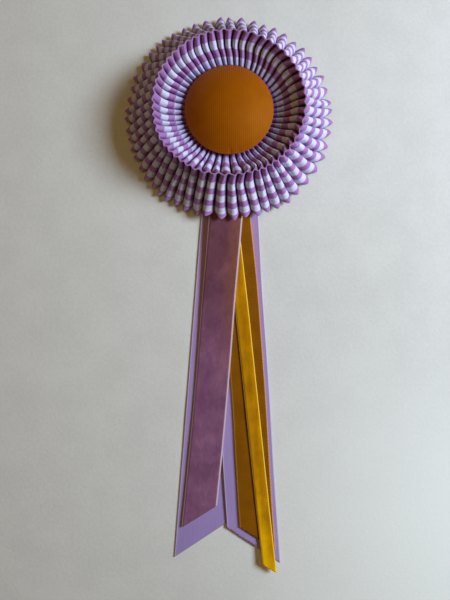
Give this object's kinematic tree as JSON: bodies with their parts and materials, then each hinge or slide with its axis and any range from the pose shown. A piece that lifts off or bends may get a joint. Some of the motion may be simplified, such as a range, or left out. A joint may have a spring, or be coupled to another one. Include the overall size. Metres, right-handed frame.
{
  "type": "ribbon rosette",
  "caption": "Pleated rosette of striped ribbon with a domed covered button in its cup and layered ribbon tails, lying on its back.",
  "frame": {"origin": "on the flat face of the backing pad, under the axis of the button", "axes": "+Z along the button's axis, away from the surface that the rosette lies on; the tails run along -Y; +X is to the right as the face is looked at with the tails down"},
  "size_m": [0.1544, 0.4124, 0.0314],
  "materials": {
    "striped_ribbon": "woven gingham stripe, white and purple",
    "mustard_grosgrain": "ribbed weave",
    "felt": "pressed felt",
    "pin_steel": "satin",
    "lilac_satin": "satin",
    "brown_grosgrain": "ribbed weave",
    "yellow_velvet": "velvet pile",
    "mauve_velvet": "velvet pile"
  },
  "bodies": {
    "root": {"outer_frill": "striped_ribbon", "inner_frill": "striped_ribbon", "button": "mustard_grosgrain", "backing": "felt", "pin_bar": "pin_steel", "tail_lilac_left": "lilac_satin", "tail_lilac_right": "lilac_satin", "tail_grosgrain": "brown_grosgrain", "tail_yellow_velvet": "yellow_velvet", "tail_mauve_velvet": "mauve_velvet"}
  },
  "joints": []
}
